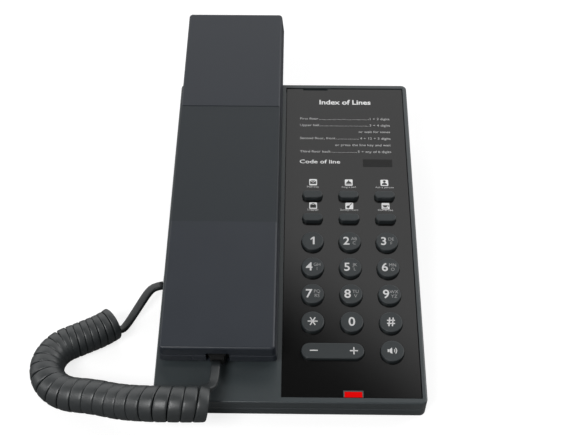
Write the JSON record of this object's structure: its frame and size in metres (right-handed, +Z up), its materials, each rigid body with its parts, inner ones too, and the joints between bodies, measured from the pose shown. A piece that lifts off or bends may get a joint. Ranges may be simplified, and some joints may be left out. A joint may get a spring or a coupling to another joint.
{
  "type": "desk telephone",
  "caption": "Desk telephone: sloped base with a keypad panel beside a slab handset that lies lengthwise on it, joined by a curly cord.",
  "frame": {"origin": "middle of the phone's outline on the table, cord left out, at the underside of the rubber feet", "axes": "+X to the user's right as they face the keypad, +Y away from the user along the base and handset, +Z up"},
  "size_m": [0.19, 0.2497, 0.0705],
  "materials": {
    "casing_black": "fine satin texture",
    "handset_black": "fine satin texture, smoother grip band",
    "panel_black": "gloss",
    "key_black": "satin, printed numbers",
    "lamp_red": "tinted, clear",
    "lamp_chip": "moulded resin",
    "rubber_black": "matt",
    "board_green": "solder mask",
    "socket_black": "moulded",
    "plunger_grey": "satin",
    "steel": "zinc plated",
    "cone_paper": "pressed paper",
    "magnet_dark": "sintered",
    "capsule_metal": "drawn can",
    "foam_black": "open foam",
    "plug_black": "moulded",
    "cord_black": "satin jacket"
  },
  "bodies": {
    "base": {"base_upper_cover": "casing_black", "base_lower_shell": "casing_black", "faceplate": "panel_black", "message_lamp_lens": "lamp_red", "message_lamp_led": "lamp_chip", "keypad_mat": "rubber_black", "main_circuit_board": "board_green", "base_cord_jack": "socket_black", "network_socket": "socket_black", "computer_socket": "socket_black", "hook_sensor": "socket_black", "hook_spring": "steel", "loudspeaker_basket": "steel", "loudspeaker_cone": "cone_paper", "loudspeaker_magnet": "magnet_dark", "hands_free_microphone": "capsule_metal", "cradle_pads": "rubber_black", "rubber_feet": "rubber_black", "case_screws": "steel", "board_screws": "steel", "base_plug": "plug_black", "cord_tail_base": "cord_black", "cord_curls": "cord_black"},
    "handset": {"handset_back_cover": "handset_black", "handset_front_cover": "handset_black", "earpiece_foam_ring": "foam_black", "earpiece_receiver": "capsule_metal", "handset_microphone": "capsule_metal", "handset_weight": "steel", "handset_screws": "steel", "handset_cord_jack": "socket_black", "handset_plug": "plug_black", "cord_tail_handset": "cord_black"},
    "hook": {"hook_plunger": "plunger_grey"},
    "key_speaker_body": {"key_speaker": "key_black"},
    "key_star_body": {"key_star": "key_black"},
    "key_0_body": {"key_0": "key_black"},
    "key_hash_body": {"key_hash": "key_black"},
    "key_7_body": {"key_7": "key_black"},
    "key_8_body": {"key_8": "key_black"},
    "key_9_body": {"key_9": "key_black"},
    "key_4_body": {"key_4": "key_black"},
    "key_5_body": {"key_5": "key_black"},
    "key_6_body": {"key_6": "key_black"},
    "key_1_body": {"key_1": "key_black"},
    "key_2_body": {"key_2": "key_black"},
    "key_3_body": {"key_3": "key_black"},
    "service_key_1_body": {"service_key_1": "key_black"},
    "service_key_2_body": {"service_key_2": "key_black"},
    "service_key_3_body": {"service_key_3": "key_black"},
    "service_key_4_body": {"service_key_4": "key_black"},
    "service_key_5_body": {"service_key_5": "key_black"},
    "service_key_6_body": {"service_key_6": "key_black"},
    "volume_rocker_body": {"volume_rocker": "key_black"}
  },
  "joints": [
    {"name": "handset_lift", "type": "slide", "parent": "base", "child": "handset", "axis": [0, -0.1736, 0.9848], "range_m": [0, 0.12], "deforming": ["cord_curls", "cord_tail_handset"]},
    {"name": "hook_travel", "type": "slide", "parent": "base", "child": "hook", "axis": [0, -0.1736, 0.9848], "range_m": [0, 0.0035], "deforming": ["hook_spring"]},
    {"name": "key_speaker_press", "type": "slide", "parent": "base", "child": "key_speaker_body", "axis": [0, 0.1736, -0.9848], "range_m": [0, 0.001], "stiffness_N_per_m": 400},
    {"name": "key_star_press", "type": "slide", "parent": "base", "child": "key_star_body", "axis": [0, 0.1736, -0.9848], "range_m": [0, 0.001], "stiffness_N_per_m": 400},
    {"name": "key_0_press", "type": "slide", "parent": "base", "child": "key_0_body", "axis": [0, 0.1736, -0.9848], "range_m": [0, 0.001], "stiffness_N_per_m": 400},
    {"name": "key_hash_press", "type": "slide", "parent": "base", "child": "key_hash_body", "axis": [0, 0.1736, -0.9848], "range_m": [0, 0.001], "stiffness_N_per_m": 400},
    {"name": "key_7_press", "type": "slide", "parent": "base", "child": "key_7_body", "axis": [0, 0.1736, -0.9848], "range_m": [0, 0.001], "stiffness_N_per_m": 400},
    {"name": "key_8_press", "type": "slide", "parent": "base", "child": "key_8_body", "axis": [0, 0.1736, -0.9848], "range_m": [0, 0.001], "stiffness_N_per_m": 400},
    {"name": "key_9_press", "type": "slide", "parent": "base", "child": "key_9_body", "axis": [0, 0.1736, -0.9848], "range_m": [0, 0.001], "stiffness_N_per_m": 400},
    {"name": "key_4_press", "type": "slide", "parent": "base", "child": "key_4_body", "axis": [0, 0.1736, -0.9848], "range_m": [0, 0.001], "stiffness_N_per_m": 400},
    {"name": "key_5_press", "type": "slide", "parent": "base", "child": "key_5_body", "axis": [0, 0.1736, -0.9848], "range_m": [0, 0.001], "stiffness_N_per_m": 400},
    {"name": "key_6_press", "type": "slide", "parent": "base", "child": "key_6_body", "axis": [0, 0.1736, -0.9848], "range_m": [0, 0.001], "stiffness_N_per_m": 400},
    {"name": "key_1_press", "type": "slide", "parent": "base", "child": "key_1_body", "axis": [0, 0.1736, -0.9848], "range_m": [0, 0.001], "stiffness_N_per_m": 400},
    {"name": "key_2_press", "type": "slide", "parent": "base", "child": "key_2_body", "axis": [0, 0.1736, -0.9848], "range_m": [0, 0.001], "stiffness_N_per_m": 400},
    {"name": "key_3_press", "type": "slide", "parent": "base", "child": "key_3_body", "axis": [0, 0.1736, -0.9848], "range_m": [0, 0.001], "stiffness_N_per_m": 400},
    {"name": "service_key_1_press", "type": "slide", "parent": "base", "child": "service_key_1_body", "axis": [0, 0.1736, -0.9848], "range_m": [0, 0.001], "stiffness_N_per_m": 400},
    {"name": "service_key_2_press", "type": "slide", "parent": "base", "child": "service_key_2_body", "axis": [0, 0.1736, -0.9848], "range_m": [0, 0.001], "stiffness_N_per_m": 400},
    {"name": "service_key_3_press", "type": "slide", "parent": "base", "child": "service_key_3_body", "axis": [0, 0.1736, -0.9848], "range_m": [0, 0.001], "stiffness_N_per_m": 400},
    {"name": "service_key_4_press", "type": "slide", "parent": "base", "child": "service_key_4_body", "axis": [0, 0.1736, -0.9848], "range_m": [0, 0.001], "stiffness_N_per_m": 400},
    {"name": "service_key_5_press", "type": "slide", "parent": "base", "child": "service_key_5_body", "axis": [0, 0.1736, -0.9848], "range_m": [0, 0.001], "stiffness_N_per_m": 400},
    {"name": "service_key_6_press", "type": "slide", "parent": "base", "child": "service_key_6_body", "axis": [0, 0.1736, -0.9848], "range_m": [0, 0.001], "stiffness_N_per_m": 400},
    {"name": "volume_rock", "type": "hinge", "parent": "base", "child": "volume_rocker_body", "pos_m": [0.0202, -0.09035, 0.01532], "axis": [0, 0.9848, 0.1736], "range_deg": [-3, 3], "stiffness_Nm_per_rad": 0.05}
  ],
  "couplings": [
    {"joint": "hook_travel", "follows": "handset_lift", "ratio": 0.029166}
  ]
}
